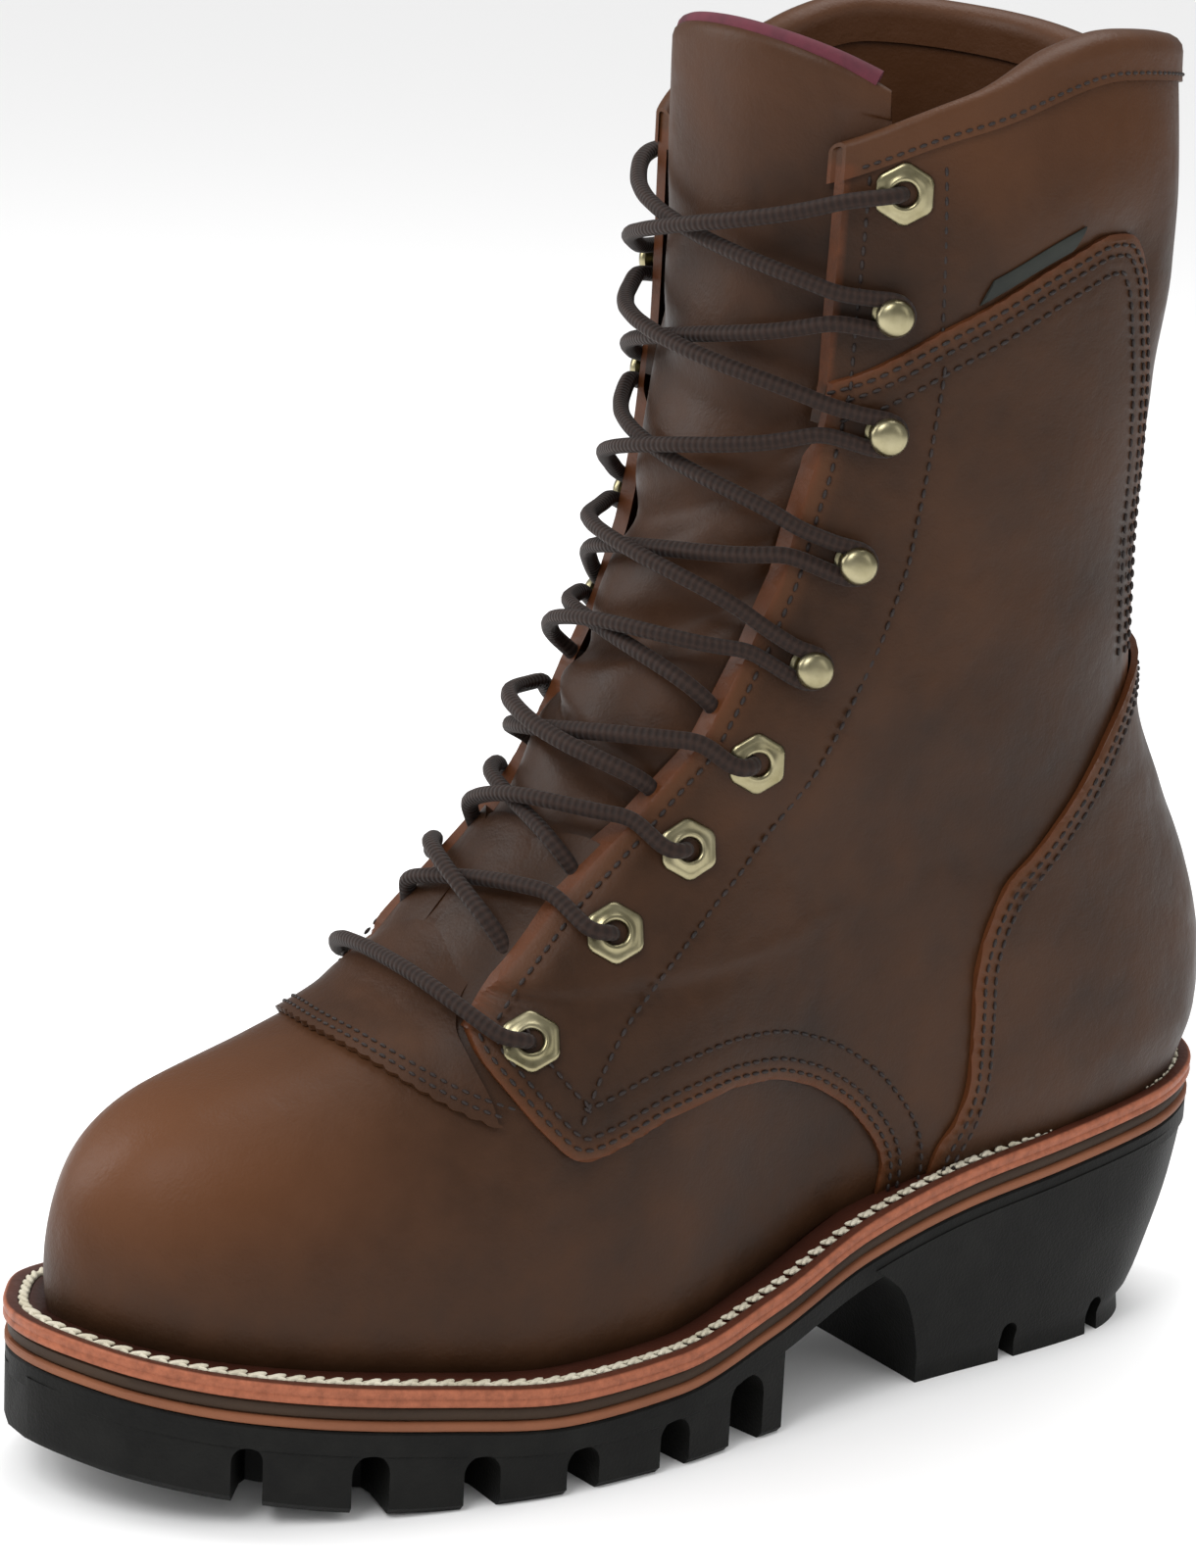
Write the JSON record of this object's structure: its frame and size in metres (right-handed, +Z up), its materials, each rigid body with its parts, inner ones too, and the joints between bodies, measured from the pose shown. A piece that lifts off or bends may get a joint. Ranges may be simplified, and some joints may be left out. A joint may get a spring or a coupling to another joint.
{
  "type": "logger boot",
  "caption": "Tall lace-up logger work boot in oiled brown leather: safety toe, padded collar, brass eyelets and hooks, stitched welt, high heel and lugged rubber sole",
  "frame": {"origin": "on the floor under the middle of the boot's box", "axes": "+X towards the outer side of the left foot, -Y towards the toe, +Z up"},
  "size_m": [0.1116, 0.3192, 0.3155],
  "materials": {
    "brown_leather": "oiled, satin",
    "dark_leather": "matte",
    "welt_leather": "waxed, satin",
    "midsole_leather": "matte",
    "slip_leather": "matte",
    "black_rubber": "matte",
    "antique_brass": "satin, aged",
    "lace_cord": "matte, woven"
  },
  "bodies": {
    "root": {"outsole": "black_rubber", "slip_sole": "slip_leather", "midsole": "midsole_leather", "welt": "welt_leather", "insole": "dark_leather", "upper": "brown_leather", "heel_counter": "brown_leather", "backstay": "brown_leather", "tongue": "brown_leather", "throat_piece": "brown_leather", "lace_bar": "lace_cord", "lace_cross_1": "lace_cord", "lace_cross_2": "lace_cord", "lace_cross_3": "lace_cord", "lace_cross_4": "lace_cord", "lace_cross_5": "lace_cord", "lace_cross_6": "lace_cord", "lace_cross_7": "lace_cord", "lace_cross_8": "lace_cord", "eyelet_outer_1": "antique_brass", "eyelet_outer_2": "antique_brass", "eyelet_outer_3": "antique_brass", "eyelet_outer_4": "antique_brass", "eyelet_outer_9": "antique_brass", "eyelet_inner_1": "antique_brass", "eyelet_inner_2": "antique_brass", "eyelet_inner_3": "antique_brass", "eyelet_inner_4": "antique_brass", "eyelet_inner_9": "antique_brass", "hook_outer_5": "antique_brass", "hook_outer_6": "antique_brass", "hook_outer_7": "antique_brass", "hook_outer_8": "antique_brass", "hook_inner_5": "antique_brass", "hook_inner_6": "antique_brass", "hook_inner_7": "antique_brass", "hook_inner_8": "antique_brass"}
  },
  "joints": []
}
